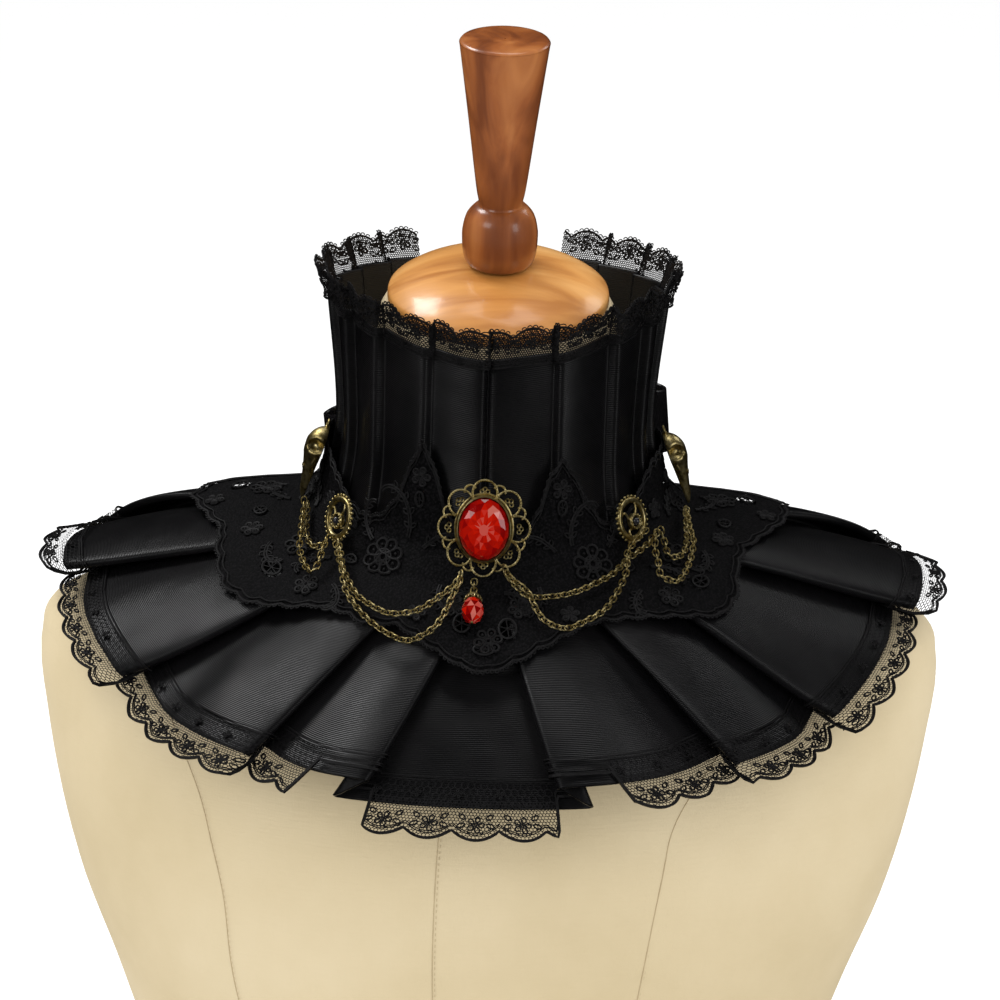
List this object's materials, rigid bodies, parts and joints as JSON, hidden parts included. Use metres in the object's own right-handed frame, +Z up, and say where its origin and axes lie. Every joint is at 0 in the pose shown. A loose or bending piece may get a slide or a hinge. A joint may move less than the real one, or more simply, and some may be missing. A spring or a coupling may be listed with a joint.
{
  "type": "detachable collar on dress form",
  "caption": "Pleated black shoulder collar with neck stand, lace edging and applique, bronze charms, chains and back bow, worn on a limbless dress form.",
  "frame": {"origin": "middle of the dress form's flat base", "axes": "+Z up the form, -Y the front of the collar, +X the side to the right of a viewer in front"},
  "size_m": [0.431, 0.3183, 0.6682],
  "materials": {
    "black_faille": "ribbed, soft gloss",
    "black_lace": "matt lace",
    "aged_bronze": "antique bronze, burnished edges",
    "red_glass": "faceted, clear red over foil",
    "satin_ribbon": "satin",
    "cream_linen": "plain weave, matt",
    "cap_wood": "varnished, fine grain",
    "finial_wood": "varnished, turned"
  },
  "bodies": {
    "root": {"neck_stand": "black_faille", "shoulder_ruffle": "black_faille", "hem_lace": "black_lace", "neck_lace": "black_lace", "yoke_applique": "black_lace", "brooch_setting": "aged_bronze", "brooch_gem": "red_glass", "drop_cap": "aged_bronze", "drop_bead": "red_glass", "gear_right": "aged_bronze", "gear_left": "aged_bronze", "skull_right": "aged_bronze", "skull_left": "aged_bronze", "chain_right_upper": "aged_bronze", "chain_right_lower": "aged_bronze", "chain_right_inner": "aged_bronze", "chain_right_outer": "aged_bronze", "chain_left_upper": "aged_bronze", "chain_left_lower": "aged_bronze", "chain_left_inner": "aged_bronze", "chain_left_outer": "aged_bronze", "ribbon_loop_right": "satin_ribbon", "ribbon_loop_left": "satin_ribbon", "ribbon_knot": "satin_ribbon", "ribbon_tail_right": "satin_ribbon", "ribbon_tail_left": "satin_ribbon", "ribbon_band": "satin_ribbon", "form_torso": "cream_linen", "neck_cap": "cap_wood", "finial": "finial_wood"}
  },
  "joints": []
}
